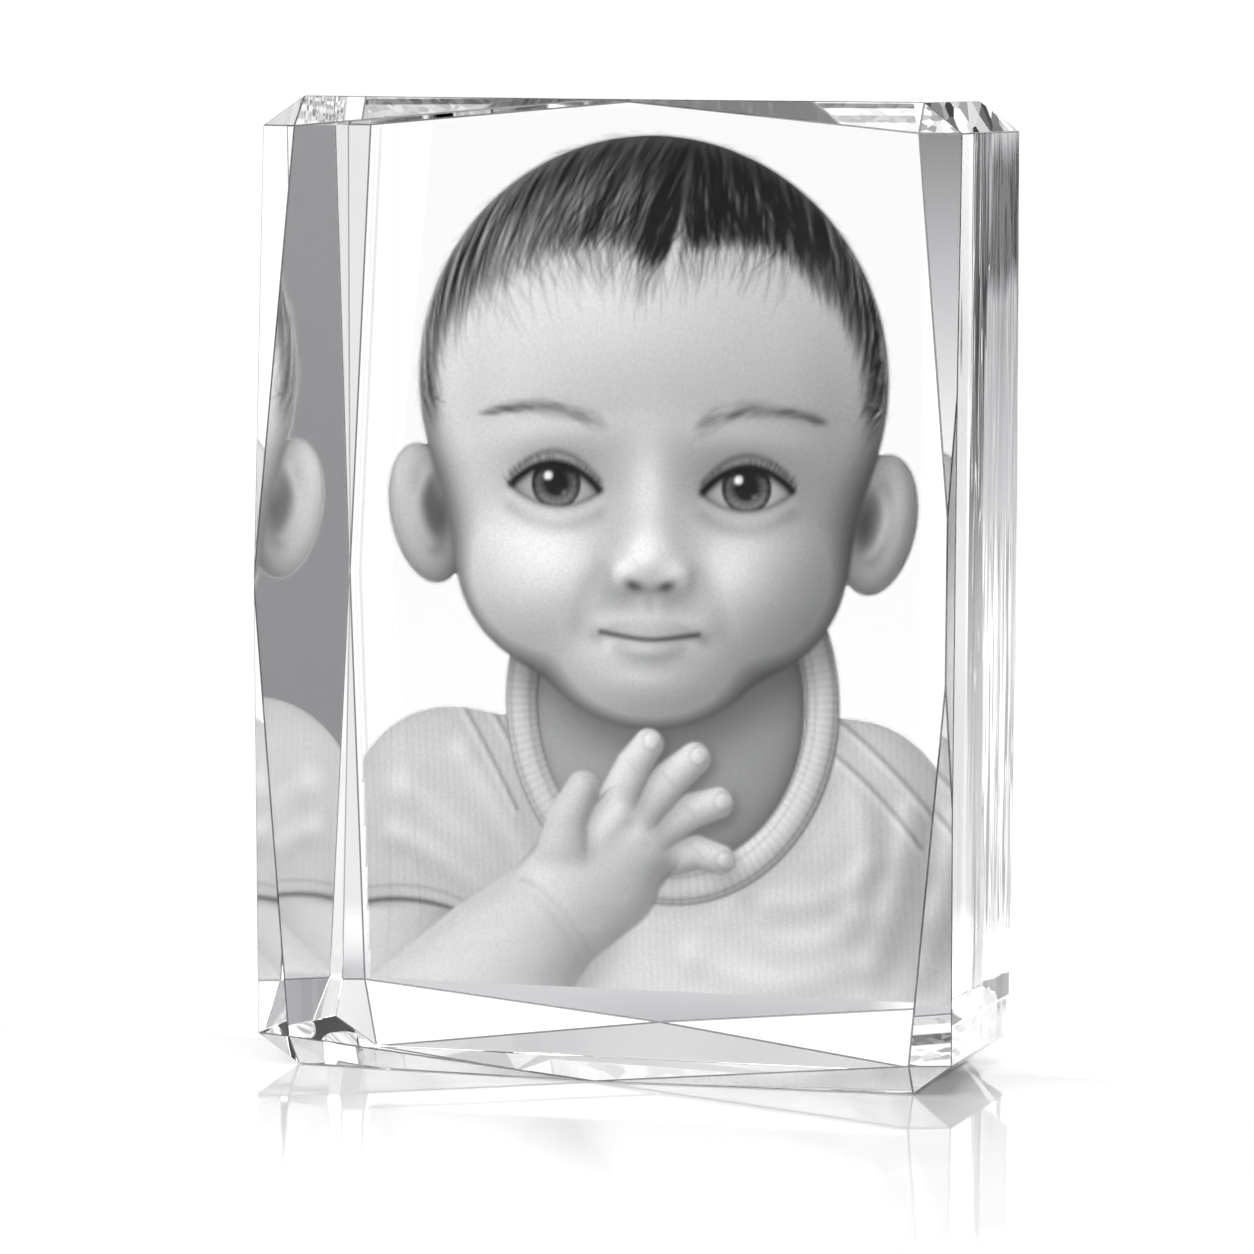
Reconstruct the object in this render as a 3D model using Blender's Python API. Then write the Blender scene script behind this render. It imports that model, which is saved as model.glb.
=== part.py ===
"""Optical crystal block with a photograph on film behind it.

A clear block stands on its base and is looked through from the front. Its edges are ground into long
thin facets. Behind it lie a clear adhesive, the photograph on clear film, a white layer cut to the
figure in the photograph, and a clear cover.
Metres, +Z up. The front faces -Y, and the origin is in the middle of the base.
"""

import math

import bmesh
import bpy
from mathutils import Vector

# Crystal block
width = 0.090  # across the front face
height = 0.120
thickness = 0.040
side_taper = math.radians(4.75)  # each side leans in towards the back
corner_across = 0.0050  # what the cut corners take off the top and base edges
corner_up = 0.0037  # and off the sides
arris = 0.0009  # flat ground along the right-hand front edge
base_chamfer_up = 0.0045  # flat ground along the back edge of the base

# Facets, ground on the front and on the back
front_facet_from_side = 0.0050  # from the side to the point where three facets meet
back_facet_from_side = 0.0024
facet_from_end = 0.0037  # from the top or the base to that point
facet_into_side = 0.0020  # how deep a facet runs along the side at the corner
facet_into_end = 0.0030  # and along the top or the base, where the chamfer also ends

# Films on the back, in the order that they lie
film_inset = 0.0004  # from the edge of the block's back face
film_above_facets = 0.0001  # the straight lower edge, above the lower facets' points
film_gap = 0.0003
adhesive_film = 0.0003
photo_film = 0.0003
white_film = 0.0004
cover_film = 0.0010

# The white layer lies only behind the printed figure: height, left end and right end of each row
figure_rows = (
    (0.0084, -0.0450, 0.0300),  # chest and sleeves, cut by the film's edge on the left
    (0.0160, -0.0450, 0.0345),
    (0.0280, -0.0450, 0.0382),
    (0.0380, -0.0388, 0.0347),
    (0.0430, -0.0296, 0.0252),  # shoulders
    (0.0450, -0.0210, 0.0225),
    (0.0500, -0.0215, 0.0217),  # collar and chin
    (0.0575, -0.0260, 0.0220),
    (0.0595, -0.0325, 0.0280),  # ears
    (0.0675, -0.0366, 0.0321),
    (0.0755, -0.0345, 0.0300),
    (0.0770, -0.0320, 0.0276),
    (0.0850, -0.0328, 0.0282),  # head
    (0.0950, -0.0310, 0.0266),
    (0.1050, -0.0252, 0.0207),
    (0.1115, -0.0168, 0.0124),
    (0.1150, -0.0063, 0.0020),
)

front_y = -thickness / 2
back_y = thickness / 2
middle = Vector((0, 0, height / 2))


def clear_scene():
    for thing in list(bpy.data.objects):
        bpy.data.objects.remove(thing, do_unlink=True)


def material(name, colour, roughness, transmission=0.0, ior=1.45):
    made = bpy.data.materials.new(name)
    made.use_nodes = True
    shader = made.node_tree.nodes["Principled BSDF"]
    shader.inputs["Base Color"].default_value = (*colour, 1.0)
    shader.inputs["Roughness"].default_value = roughness
    shader.inputs["Metallic"].default_value = 0.0
    shader.inputs["Transmission Weight"].default_value = transmission
    shader.inputs["IOR"].default_value = ior
    return made


def box(low, high):
    """A closed box as a bmesh, from its lowest and highest corner."""
    low, high = Vector(low), Vector(high)
    solid = bmesh.new()
    bmesh.ops.create_cube(solid, size=1.0)
    bmesh.ops.scale(solid, vec=high - low, verts=solid.verts)
    bmesh.ops.translate(solid, vec=(low + high) / 2, verts=solid.verts)
    return solid


def grind(solid, point, outward):
    """Takes off all that lies beyond a plane, and closes the flat that is left."""
    snap = 2e-6
    every = list(solid.verts) + list(solid.edges) + list(solid.faces)
    cut = bmesh.ops.bisect_plane(
        solid, geom=every, dist=snap, plane_co=point, plane_no=outward, clear_outer=True
    )
    rim = [part for part in cut["geom_cut"] if isinstance(part, bmesh.types.BMEdge)]
    open_rim = [edge for edge in rim if edge.is_boundary]
    if open_rim:
        bmesh.ops.edgeloop_fill(solid, edges=open_rim)


def grind_through(solid, a, b, c):
    """Grinds along the plane of three points, on the side away from the block's middle."""
    outward = (b - a).cross(c - a).normalized()
    if outward.dot(middle - a) > 0:
        outward.negate()
    grind(solid, a, outward)


def half_width(y):
    """Half of the block's width at this depth."""
    return width / 2 - (y - front_y) * math.tan(side_taper)


def from_base_or_top(end_z, distance):
    """A height this far up from the base, or down from the top."""
    return distance if end_z == 0 else end_z - distance


def end_of_face(face_y, end_z):
    """The height at which the front or the back face ends. The chamfer shortens the back one."""
    return base_chamfer_up if (face_y, end_z) == (back_y, 0) else end_z


def meeting_point(side, face_y, end_z):
    """Where three facets meet, near a corner of the front or the back face."""
    from_side = front_facet_from_side if face_y == front_y else back_facet_from_side
    chamfer = base_chamfer_up if (face_y, end_z) == (back_y, 0) else 0
    z = from_base_or_top(end_z, chamfer + facet_from_end)
    return Vector((side * (half_width(face_y) - from_side), face_y, z))


def grind_corner(solid, side, end_z):
    """Cuts one of the four corners off, along the lean of its side."""
    z = from_base_or_top(end_z, corner_up)
    on_side = Vector((side * half_width(front_y), front_y, z))
    on_end = Vector((side * (half_width(front_y) - corner_across), front_y, end_z))
    further = Vector((side * half_width(back_y), back_y, z))
    grind_through(solid, on_side, on_end, further)


def grind_facets(solid, side, face_y, end_z):
    """Grinds the long upright facet, the corner facet and the long level facet at one corner of a face."""
    inward = 1 if face_y == front_y else -1
    side_y = face_y + inward * facet_into_side
    end_y = face_y + inward * facet_into_end
    face_end_z = end_of_face(face_y, end_z)
    corner_z = from_base_or_top(end_z, abs(face_end_z - end_z) + corner_up)
    meeting = meeting_point(side, face_y, end_z)
    corner_on_side = Vector((side * half_width(side_y), side_y, corner_z))
    corner_on_end = Vector((side * (half_width(end_y) - corner_across), end_y, end_z))
    middle_of_side = Vector((side * half_width(face_y), face_y, height / 2))
    middle_of_end = Vector((0, face_y, face_end_z))
    grind_through(solid, meeting, middle_of_side, corner_on_side)
    grind_through(solid, meeting, corner_on_side, corner_on_end)
    grind_through(solid, meeting, corner_on_end, middle_of_end)


def finish(solid, name, paint, collection, y=0.0):
    """Makes the named object from a bmesh."""
    bmesh.ops.remove_doubles(solid, verts=solid.verts, dist=2e-6)
    bmesh.ops.recalc_face_normals(solid, faces=solid.faces)
    mesh = bpy.data.meshes.new(name)
    solid.to_mesh(mesh)
    solid.free()
    mesh.materials.append(paint)
    made = bpy.data.objects.new(name, mesh)
    made.location.y = y
    collection.objects.link(made)
    return made


def crystal_block(collection):
    upright = Vector((0, 0, height))
    solid = box((-width, front_y, 0), (width, back_y, height))
    for side in (-1, 1):
        front_edge = Vector((side * half_width(front_y), front_y, 0))
        back_edge = Vector((side * half_width(back_y), back_y, 0))
        grind_through(solid, front_edge, back_edge, front_edge + upright)
    chamfer_top = Vector((0, back_y, base_chamfer_up))
    chamfer_foot = Vector((0, back_y - facet_into_end, 0))
    grind_through(solid, chamfer_top, chamfer_foot, chamfer_top + Vector((width, 0, 0)))
    for side in (-1, 1):
        for end_z in (0, height):
            grind_corner(solid, side, end_z)
            for face_y in (front_y, back_y):
                grind_facets(solid, side, face_y, end_z)
    on_front = Vector((half_width(front_y) - arris, front_y, 0))
    on_side = Vector((half_width(front_y + arris), front_y + arris, 0))
    grind_through(solid, on_front, on_side, on_front + upright)
    crystal = material("polished_crystal", (0.95, 0.97, 0.97), 0.0, 1.0, 1.52)
    return finish(solid, "crystal_block", crystal, collection)


def trim(solid, a, b):
    """Cuts a film a little inside the line between two points of the block's back face."""
    outward = (b - a).cross(Vector((0, 1, 0))).normalized()
    if outward.dot(middle - a) > 0:
        outward.negate()
    point = a - outward * film_inset
    grind(solid, Vector((point.x, 0, point.z)), outward)


def trim_to_block(solid):
    """Cuts a film along the outline of the block's back face."""
    top_middle = Vector((0, back_y, height))
    for side in (-1, 1):
        side_middle = Vector((side * half_width(back_y), back_y, height / 2))
        trim(solid, side_middle, meeting_point(side, back_y, 0))
        trim(solid, side_middle, meeting_point(side, back_y, height))
        trim(solid, top_middle, meeting_point(side, back_y, height))


def full_sheet(depth):
    """A film as large as the block's back face, with a straight lower edge."""
    bottom = meeting_point(1, back_y, 0).z + film_above_facets
    return box((-width, 0, bottom), (width, depth, height))


def figure_sheet(depth):
    """A film cut round the printed figure, row by row."""
    solid = bmesh.new()
    rings = []
    for z, left, right in figure_rows:
        corners = ((left, 0), (right, 0), (right, depth), (left, depth))
        rings.append([solid.verts.new((x, y, z)) for x, y in corners])
    for lower, upper in zip(rings[:-1], rings[1:]):
        for k in range(4):
            following = (k + 1) % 4
            solid.faces.new((lower[k], lower[following], upper[following], upper[k]))
    solid.faces.new(reversed(rings[0]))
    solid.faces.new(rings[-1])
    return solid


def films(collection):
    """Each film in turn, the first against the block and each next one behind it."""
    clear = (0.95, 0.96, 0.96)
    layers = (
        ("clear_adhesive_film", full_sheet, adhesive_film, material("clear_adhesive", clear, 0.1, 1.0)),
        ("photo_film", full_sheet, photo_film, material("printed_film", clear, 0.3, 1.0)),
        ("white_backing_film", figure_sheet, white_film, material("white_film", (0.9, 0.9, 0.9), 0.5)),
        ("back_cover_film", full_sheet, cover_film, material("clear_cover", clear, 0.1, 1.0)),
    )
    y = back_y
    for name, sheet, depth, paint in layers:
        y += film_gap
        solid = sheet(depth)
        trim_to_block(solid)
        finish(solid, name, paint, collection, y)
        y += depth


clear_scene()
parts = bpy.data.collections.new("optical_crystal_block")
bpy.context.scene.collection.children.link(parts)
crystal_block(parts)
films(parts)
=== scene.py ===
import math

import bmesh
import bpy
import numpy as np
from mathutils import Matrix, Vector


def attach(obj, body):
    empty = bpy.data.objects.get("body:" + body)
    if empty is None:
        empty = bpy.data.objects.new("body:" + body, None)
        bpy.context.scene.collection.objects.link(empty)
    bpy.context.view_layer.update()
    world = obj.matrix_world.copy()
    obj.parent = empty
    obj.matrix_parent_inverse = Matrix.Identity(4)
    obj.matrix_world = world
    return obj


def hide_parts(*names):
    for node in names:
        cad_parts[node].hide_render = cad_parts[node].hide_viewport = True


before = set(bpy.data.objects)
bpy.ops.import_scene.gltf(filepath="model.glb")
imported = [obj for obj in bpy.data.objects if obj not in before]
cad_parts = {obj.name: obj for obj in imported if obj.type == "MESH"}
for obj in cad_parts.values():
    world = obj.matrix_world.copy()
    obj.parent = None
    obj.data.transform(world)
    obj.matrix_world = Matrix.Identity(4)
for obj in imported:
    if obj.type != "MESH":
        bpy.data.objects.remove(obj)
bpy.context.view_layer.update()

# Crystal block: one solid of optical crystal, sawn, ground flat and polished on every face.
# The long facets are ground by hand, and the last polish rounds each edge by a tenth of a
# millimetre, which draws the thin bright lines along them. The thin dark lines come partly from the
# rounding and partly from painted shade: the rounded edges' glass is tinted dark grey.
crystal_ior = 1.52
polished_edge = 0.00012
ground_roughness = 0.5
edge_chips = 0.0015


def linear(hex_colour):
    """An sRGB hex colour as linear RGBA."""
    whole = int(hex_colour.lstrip("#"), 16)
    parts = [((whole >> shift) & 255) / 255 for shift in (16, 8, 0)]
    return tuple(p / 12.92 if p <= 0.04045 else ((p + 0.055) / 1.055) ** 2.4 for p in parts) + (1.0,)


def new_material(name):
    made = bpy.data.materials.new(name)
    made.use_nodes = True
    return made, made.node_tree, made.node_tree.nodes["Principled BSDF"]


def add_node(tree, kind, settings=None, links=None):
    """Adds a node with its settings, its unlinked inputs and its links."""
    node = tree.nodes.new(kind)
    for key, value in (settings or {}).items():
        if isinstance(key, int) or key in node.inputs:
            node.inputs[key].default_value = value
        else:
            setattr(node, key, value)
    for key, source in (links or {}).items():
        tree.links.new(source, node.inputs[key])
    return node


def new_piece(name, mesh, material, node_name):
    piece = bpy.data.objects.new(name, mesh)
    bpy.context.scene.collection.objects.link(piece)
    piece.data.materials.clear()
    piece.data.materials.append(material)
    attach(piece, "root")
    if node_name:
        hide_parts(node_name)
    return piece


def polished_crystal():
    """Optical crystal, ground and polished: colourless and clear, with sharp bright reflections."""
    made, tree, shader = new_material("polished_optical_crystal")
    shader.inputs["Base Color"].default_value = linear("#FFFFFF")
    shader.inputs["Roughness"].default_value = 0.0
    shader.inputs["IOR"].default_value = crystal_ior
    shader.inputs["Transmission Weight"].default_value = 1.0

    # The hand-held polish leaves the narrow faces very slightly wavy, in long upright waves. They are
    # deepest at the right, almost gone at the left, and start a little behind the front edge.
    wave_apart = 0.006
    wave_long = 0.060
    wave_depth = 0.00020
    wave_left, wave_right = 0.06, 1.0
    wave_reach = 0.02
    side_on, side_off = 0.90, 0.80
    waves_start, waves_full = -0.0115, -0.0080
    surface = add_node(tree, "ShaderNodeNewGeometry")
    place = add_node(
        tree, "ShaderNodeVectorMath", {"operation": "MULTIPLY"}, {0: surface.outputs["Position"]}
    )
    place.inputs[1].default_value = (1 / wave_apart, 1 / wave_apart, 1 / wave_long)
    waves = add_node(
        tree, "ShaderNodeTexNoise", {"Scale": 1.0, "Detail": 2.0, "Roughness": 0.35},
        {"Vector": place.outputs[0]},
    )
    parts = add_node(tree, "ShaderNodeSeparateXYZ", links={"Vector": surface.outputs["True Normal"]})
    depth = add_node(tree, "ShaderNodeSeparateXYZ", links={"Vector": surface.outputs["Position"]})
    strong = add_node(
        tree, "ShaderNodeMapRange",
        {"From Min": -wave_reach, "From Max": wave_reach, "To Min": wave_left, "To Max": wave_right},
        {"Value": depth.outputs["X"]},
    )
    on_side = add_node(tree, "ShaderNodeMath", {"operation": "ABSOLUTE"}, {0: parts.outputs["X"]})
    narrow = add_node(
        tree, "ShaderNodeMapRange",
        {"From Min": side_off, "From Max": side_on}, {"Value": on_side.outputs[0]},
    )
    strength = add_node(
        tree, "ShaderNodeMath", {"operation": "MULTIPLY"},
        {0: strong.outputs["Result"], 1: narrow.outputs["Result"]},
    )
    behind_edge = add_node(
        tree, "ShaderNodeMapRange", {"From Min": waves_start, "From Max": waves_full},
        {"Value": depth.outputs["Y"]},
    )
    strength = add_node(
        tree, "ShaderNodeMath", {"operation": "MULTIPLY"},
        {0: strength.outputs[0], 1: behind_edge.outputs["Result"]},
    )
    bump = add_node(
        tree, "ShaderNodeBump", {"Distance": wave_depth},
        {"Height": waves.outputs["Fac"], "Strength": strength.outputs[0]},
    )
    tree.links.new(bump.outputs["Normal"], shader.inputs["Normal"])

    # The narrow flat along one front edge is only fine-ground, so it glows white.
    flat_faces = (0.737, -0.676, 0.0)
    nearly, exactly = 0.990, 0.996
    slant = add_node(
        tree, "ShaderNodeVectorMath", {"operation": "DOT_PRODUCT"}, {0: surface.outputs["True Normal"]}
    )
    slant.inputs[1].default_value = flat_faces
    ground = add_node(
        tree, "ShaderNodeMapRange", {"From Min": nearly, "From Max": exactly, "To Max": ground_roughness},
        {"Value": slant.outputs["Value"]},
    )
    tree.links.new(ground.outputs["Result"], shader.inputs["Roughness"])
    return made


def crystal_mesh():
    """The block's own solid, with its flat faces whole again, ready for polished edges."""
    solid = bmesh.new()
    solid.from_mesh(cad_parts["crystal_block"].data)
    same_point = 1e-6
    same_face = math.radians(0.3)
    bmesh.ops.remove_doubles(solid, verts=solid.verts, dist=same_point)
    bmesh.ops.dissolve_limit(solid, angle_limit=same_face, verts=solid.verts, edges=solid.edges)
    mesh = bpy.data.meshes.new("crystal_body")
    solid.to_mesh(mesh)
    solid.free()
    return mesh


crystal = new_piece(
    "crystal_body", crystal_mesh(), polished_crystal(), "crystal_block"
)
edges = crystal.modifiers.new("polished_edges", "BEVEL")
edges.width = polished_edge
edges.segments = 3
edges.limit_method = "ANGLE"
edges.angle_limit = math.radians(2)
edges.material = 1

# The rounded edges bend the light into thin lines, and their glass is tinted dark grey, a painted
# shade that makes these lines dark. Here and there tiny chips dull them.
chipped_roughness = 0.12
dark_tinted_edge_glass, tree, shader = new_material("rounded_crystal_edge_tinted_dark")
# Painted shade: this dark grey tint darkens the lines along the rounded edges.
shader.inputs["Base Color"].default_value = linear("#3C3F42")
shader.inputs["IOR"].default_value = crystal_ior
shader.inputs["Transmission Weight"].default_value = 1.0
place = add_node(tree, "ShaderNodeTexCoord").outputs["Object"]
chips = add_node(tree, "ShaderNodeTexNoise", {"Scale": 1 / edge_chips, "Detail": 2.0}, {"Vector": place})
rough = add_node(
    tree, "ShaderNodeMapRange", {"From Min": 0.5, "From Max": 0.8, "To Max": chipped_roughness},
    {"Value": chips.outputs["Fac"]},
)
tree.links.new(rough.outputs["Result"], shader.inputs["Roughness"])
crystal.data.materials.append(dark_tinted_edge_glass)

# Clear adhesive: an optically clear transfer film, rolled on to the back of the block. It is
# invisible except for a thin pale line along its cut edge.
film_ripple = 0.006
film_smoothest, film_roughest = 0.08, 0.18
adhesive_haze, adhesive_rim = 0.002, 0.25


def give_material(node_name, material):
    """Gives a CAD node, whose shape stays as it is, its real material."""
    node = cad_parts[node_name]
    node.data.materials.clear()
    node.data.materials.append(material)


def clear_film(name, haze, rim):
    """Cast polyester film: clear with a slight haze, and brighter along its cut edge."""
    made, tree, shader = new_material(name)
    shader.inputs["Base Color"].default_value = linear("#FBFCFC")
    shader.inputs["IOR"].default_value = 1.5
    place = add_node(tree, "ShaderNodeNewGeometry").outputs["Position"]
    ripple = add_node(
        tree, "ShaderNodeTexNoise", {"Scale": 1 / film_ripple, "Detail": 2.0}, {"Vector": place}
    )
    gloss = add_node(
        tree, "ShaderNodeMapRange", {"To Min": film_smoothest, "To Max": film_roughest},
        {"Value": ripple.outputs["Fac"]},
    )
    tree.links.new(gloss.outputs["Result"], shader.inputs["Roughness"])
    normal = add_node(tree, "ShaderNodeNewGeometry").outputs["Normal"]
    parts = add_node(tree, "ShaderNodeSeparateXYZ", links={"Vector": normal})
    facing = add_node(tree, "ShaderNodeMath", {"operation": "ABSOLUTE"}, {0: parts.outputs["Y"]})
    body = add_node(
        tree, "ShaderNodeMapRange", {"To Min": rim, "To Max": haze}, {"Value": facing.outputs[0]}
    )
    tree.links.new(body.outputs["Result"], shader.inputs["Alpha"])
    return made


give_material("clear_adhesive_film", clear_film("clear_transfer_adhesive", adhesive_haze, adhesive_rim))

# Photograph: a monochrome portrait printed with pigment ink on the back of a clear film.
# Only the figure is printed, so the studio shows white through the film round it. The ink is a soft,
# satin grey with the fine grain of its droplets.
# Places below are millimetres on the print, across from the block's middle and up from its base.
print_haze, film_rim = 0.003, 0.35
grain_step = 0.25
half_print = 41.3
print_low, print_high = 8.3, 119.6
print_middle = -2.2
across = np.arange(-half_print, half_print + 0.001, grain_step)
upward = np.arange(print_low, print_high + 0.001, grain_step)
X, Z = np.meshgrid(across, upward)
chance = np.random.default_rng(7)


def soften(field, millimetres):
    """A soft-focus copy of a field."""
    reach = int(3 * millimetres / grain_step) + 1
    weights = np.exp(-0.5 * (np.arange(-reach, reach + 1) * grain_step / millimetres) ** 2)
    weights /= weights.sum()
    for axis in (0, 1):
        padded = np.pad(field, [(reach, reach) if a == axis else (0, 0) for a in (0, 1)], mode="edge")
        field = np.apply_along_axis(np.convolve, axis, padded, weights, mode="valid")
    return field


def step(low, high, value):
    """Goes smoothly from 0 at low to 1 at high."""
    t = np.clip((value - low) / (high - low), 0, 1)
    return t * t * (3 - 2 * t)


def oval(x, z, half_across, half_up, turn=0.0, power=2.0):
    """1 at the middle of an oval, 0 on its outline, and less beyond."""
    turn = np.radians(turn)
    along = ((X - x) * np.cos(turn) + (Z - z) * np.sin(turn)) / half_across
    up = ((Z - z) * np.cos(turn) - (X - x) * np.sin(turn)) / half_up
    return 1 - (np.abs(along) ** power + np.abs(up) ** power)


def mound(x, z, half_across, half_up, turn=0.0):
    """A soft round rise that is 1 in the middle."""
    return np.exp(oval(x, z, half_across, half_up, turn) - 1)


def merged(fields, soft=0.06):
    """One shape from several, with soft joins."""
    stacked = np.stack(fields)
    top = stacked.max(axis=0)
    return top + soft * np.log(np.exp((stacked - top) / soft).sum(axis=0))


def limb(points, radii):
    """A rounded limb through points, with a radius at each: 1 along its middle, 0 on its outline."""
    best = np.full(X.shape, -9.0)
    for (x0, z0), (x1, z1), r0, r1 in zip(points[:-1], points[1:], radii[:-1], radii[1:]):
        length = (x1 - x0) ** 2 + (z1 - z0) ** 2
        t = np.clip(((X - x0) * (x1 - x0) + (Z - z0) * (z1 - z0)) / length, 0, 1)
        far = np.hypot(X - x0 - t * (x1 - x0), Z - z0 - t * (z1 - z0))
        best = np.maximum(best, 1 - (far / (r0 + (r1 - r0) * t)) ** 2)
    return best


def cover(shape, blur=0.3):
    """How much a shape covers each place, with an edge as soft as blur."""
    slope = np.hypot(*np.gradient(shape, grain_step)) + 1e-6
    return step(-blur, blur, shape / slope)


def dome(shape, high, least=1e-3):
    """The relief of a rounded shape, as high as this in its middle."""
    return high * np.sqrt(np.clip(shape, 0, None) + least)


def lit(height, shade=0.34, light=0.88, softness=1.7):
    """Tone of a relief, from shade to light, under a broad soft light from the upper left."""
    up, sideways = np.gradient(height, grain_step)
    size = np.sqrt(1 + up ** 2 + sideways ** 2)
    facing = (-sideways * -0.40 + 0.78 - up * 0.48) / size
    return shade + (light - shade) * np.clip((facing + 1) / 2, 0, 1) ** softness


def hollows(height, millimetres, strength):
    """Darkens places that lie lower than what is around them."""
    lower = soften(height, millimetres) - height
    return 1 - strength * np.clip(lower / millimetres, -0.25, 1)


def stroke(field, points, width, amount):
    """Adds a tapered line through points to a field."""
    points = np.asarray(points, float)
    gaps = np.hypot(*np.diff(points, axis=0).T)
    count = max(int(gaps.sum() / (grain_step * 0.5)), 3)
    at = np.linspace(0, 1, count)
    known = np.concatenate([[0], np.cumsum(gaps)]) / gaps.sum()
    x = np.interp(at, known, points[:, 0])
    z = np.interp(at, known, points[:, 1])
    weight = amount * width * np.sin(np.pi * np.clip(at * 0.9 + 0.1, 0, 1)) ** 0.6
    column = (x - across[0]) / grain_step
    row = (z - upward[0]) / grain_step
    i, j = np.floor(row).astype(int), np.floor(column).astype(int)
    keep = (i >= 0) & (j >= 0) & (i < len(upward) - 1) & (j < len(across) - 1)
    i, j, column, row, weight = i[keep], j[keep], column[keep], row[keep], weight[keep]
    a, b = row - i, column - j
    np.add.at(field, (i, j), weight * (1 - a) * (1 - b))
    np.add.at(field, (i, j + 1), weight * (1 - a) * b)
    np.add.at(field, (i + 1, j), weight * a * (1 - b))
    np.add.at(field, (i + 1, j + 1), weight * a * b)


def curve(points, count=24):
    """A smooth line through a few points."""
    points = np.asarray(points, float)
    known = np.linspace(0, 1, len(points))
    at = np.linspace(0, 1, count)
    order = min(len(points) - 1, 3)
    return np.stack([np.polyval(np.polyfit(known, points[:, k], order), at) for k in (0, 1)], axis=1)


def line(points, width, blur=0.0):
    """A soft line of a width through points, 1 on it and 0 away from it."""
    points = curve(points, 60)
    nearest = np.full(X.shape, 1e9)
    for (x0, z0), (x1, z1) in zip(points[:-1], points[1:]):
        low_x, high_x = min(x0, x1) - 4 * width - 1, max(x0, x1) + 4 * width + 1
        low_z, high_z = min(z0, z1) - 4 * width - 1, max(z0, z1) + 4 * width + 1
        c0, c1 = np.searchsorted(across, (low_x, high_x))
        r0, r1 = np.searchsorted(upward, (low_z, high_z))
        px, pz = X[r0:r1, c0:c1], Z[r0:r1, c0:c1]
        length = max((x1 - x0) ** 2 + (z1 - z0) ** 2, 1e-9)
        t = np.clip(((px - x0) * (x1 - x0) + (pz - z0) * (z1 - z0)) / length, 0, 1)
        far = np.hypot(px - x0 - t * (x1 - x0), pz - z0 - t * (z1 - z0))
        nearest[r0:r1, c0:c1] = np.minimum(nearest[r0:r1, c0:c1], far)
    return np.exp(-(nearest / width) ** 2)


def lay(tone, figure, shape_cover, new_tone, shadow=0.0, shadow_size=2.0, fall=(0.8, -1.0)):
    """Lays a shape over the figure, with the soft shadow that it throws on what lies below."""
    if shadow:
        moved = np.roll(shape_cover, (int(fall[1] / grain_step), int(fall[0] / grain_step)), (0, 1))
        tone = tone * (1 - shadow * soften(moved, shadow_size) * figure)
    return tone * (1 - shape_cover) + new_tone * shape_cover, np.maximum(figure, shape_cover)


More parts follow.
